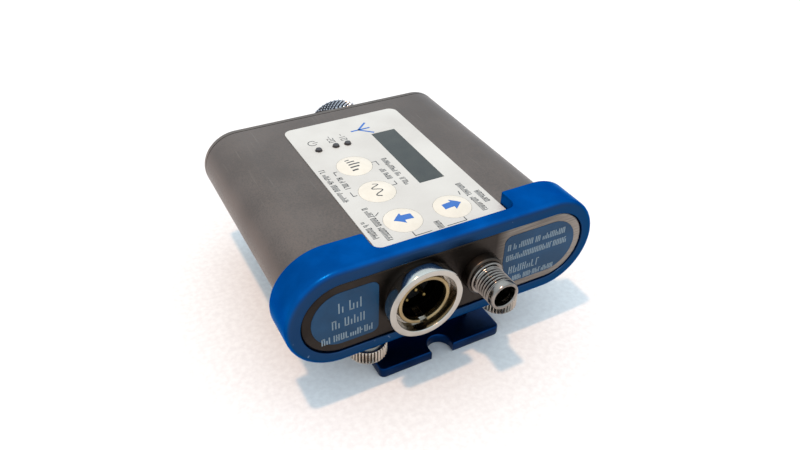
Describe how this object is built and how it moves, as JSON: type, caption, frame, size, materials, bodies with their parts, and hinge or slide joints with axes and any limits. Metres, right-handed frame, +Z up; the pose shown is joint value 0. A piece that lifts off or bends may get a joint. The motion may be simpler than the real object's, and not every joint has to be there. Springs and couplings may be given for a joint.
{
  "type": "wireless bodypack transmitter",
  "caption": "Flat metal bodypack radio transmitter with keypad, small display, round audio jack, threaded antenna jack and rear battery door, held in a collar with a slotted foot bracket.",
  "frame": {"origin": "under the middle of the whole object's box, on the surface that the foot plate stands on", "axes": "+X to the right along the connector panel as seen from the keypad side with the panel nearest, +Y from the connector panel towards the battery door, +Z up out of the keypad"},
  "size_m": [0.0686, 0.0744, 0.0335],
  "materials": {
    "case_metal": "satin, warm grey nickel-like plating",
    "panel_metal": "satin machined",
    "label_film": "matt printed blue film",
    "keypad_film": "matt white printed film",
    "button_plastic": "satin cream",
    "display_glass": "gloss, dark olive grey",
    "display_body": "matt black",
    "lamp_lens": "gloss, dark smoked",
    "switch_plastic": "matt black",
    "board": "green solder mask",
    "shield_metal": "tinned sheet",
    "chip_plastic": "matt black",
    "cell_wrap": "gloss sleeve",
    "spring_steel": "bright plated wire",
    "door_metal": "satin, warm grey nickel-like plating",
    "contact_metal": "plated",
    "knob_metal": "dark bright knurl",
    "washer_metal": "satin",
    "bush_metal": "turned",
    "ring_metal": "polished nickel",
    "shell_metal": "nickel, warm inside",
    "jack_plastic": "matt black",
    "pin_metal": "gold plated",
    "nut_metal": "nickel plated",
    "antenna_metal": "passivated stainless",
    "ptfe": "matt white fluoroplastic",
    "collar_anodised": "satin blue anodised",
    "bracket_anodised": "satin dark blue anodised",
    "thumb_metal": "nickel plated straight knurl"
  },
  "bodies": {
    "case": {"case_body": "case_metal", "front_panel": "panel_metal", "panel_label_left": "label_film", "panel_label_right": "label_film", "keypad_sheet": "keypad_film", "display_window": "display_glass", "display_module": "display_body", "power_lamp": "lamp_lens", "level_lamp_low": "lamp_lens", "level_lamp_high": "lamp_lens", "key_switches": "switch_plastic", "keypad_board": "board", "main_board": "board", "shield_can": "shield_metal", "board_header": "switch_plastic", "board_chips": "chip_plastic", "battery_left": "cell_wrap", "battery_right": "cell_wrap", "battery_springs": "spring_steel", "door_bush": "bush_metal", "audio_jack_ring": "ring_metal", "audio_jack_shell": "shell_metal", "audio_jack_insulator": "jack_plastic", "audio_jack_pins": "pin_metal", "audio_jack_nut": "nut_metal", "antenna_jack": "antenna_metal", "antenna_base": "antenna_metal", "antenna_insulator": "ptfe", "antenna_contact": "pin_metal", "antenna_nut": "nut_metal", "mount_collar": "collar_anodised", "foot_bracket": "bracket_anodised"},
    "audio_key": {"audio_button": "button_plastic"},
    "channel_key": {"channel_button": "button_plastic"},
    "down_key": {"down_button": "button_plastic"},
    "up_key": {"up_button": "button_plastic"},
    "door": {"battery_door": "door_metal", "door_insulator": "jack_plastic", "door_contact": "contact_metal"},
    "knob_carrier": {"door_washer": "washer_metal"},
    "knob": {"door_knob": "knob_metal"},
    "left_carrier": {"thumb_washer_left": "washer_metal"},
    "left_screw": {"thumbscrew_left": "thumb_metal"},
    "right_carrier": {"thumb_washer_right": "washer_metal"},
    "right_screw": {"thumbscrew_right": "thumb_metal"}
  },
  "joints": [
    {"name": "audio_press", "type": "slide", "parent": "case", "child": "audio_key", "axis": [0, 0, -1], "range_m": [0, 0.00035], "stiffness_N_per_m": 900},
    {"name": "channel_press", "type": "slide", "parent": "case", "child": "channel_key", "axis": [0, 0, -1], "range_m": [0, 0.00035], "stiffness_N_per_m": 900},
    {"name": "down_press", "type": "slide", "parent": "case", "child": "down_key", "axis": [0, 0, -1], "range_m": [0, 0.00035], "stiffness_N_per_m": 900},
    {"name": "up_press", "type": "slide", "parent": "case", "child": "up_key", "axis": [0, 0, -1], "range_m": [0, 0.00035], "stiffness_N_per_m": 900},
    {"name": "door_swing", "type": "hinge", "parent": "case", "child": "door", "pos_m": [0.0042, 0.03138, 0.0225], "axis": [0, 1, 0], "range_deg": [0, 90]},
    {"name": "knob_travel", "type": "slide", "parent": "case", "child": "knob_carrier", "axis": [0, 1, 0], "range_m": [0, 0.0021]},
    {"name": "knob_turn", "type": "hinge", "parent": "knob_carrier", "child": "knob", "pos_m": [0.0042, 0.03508, 0.0225], "axis": [0, 1, 0], "range_deg": [0, 1095]},
    {"name": "left_screw_travel", "type": "slide", "parent": "case", "child": "left_carrier", "axis": [0, 0, -1], "range_m": [0, 0.0025]},
    {"name": "left_screw_turn", "type": "hinge", "parent": "left_carrier", "child": "left_screw", "pos_m": [-0.016, -0.02343, 0.0075], "axis": [0, 0, -1], "range_deg": [0, 1820]},
    {"name": "right_screw_travel", "type": "slide", "parent": "case", "child": "right_carrier", "axis": [0, 0, -1], "range_m": [0, 0.0025]},
    {"name": "right_screw_turn", "type": "hinge", "parent": "right_carrier", "child": "right_screw", "pos_m": [0.016, -0.02343, 0.0075], "axis": [0, 0, -1], "range_deg": [0, 1820]}
  ],
  "couplings": [
    {"joint": "knob_turn", "follows": "knob_travel", "rad_per_m": 8976},
    {"joint": "left_screw_turn", "follows": "left_screw_travel", "rad_per_m": 12566},
    {"joint": "right_screw_turn", "follows": "right_screw_travel", "rad_per_m": 12566}
  ]
}
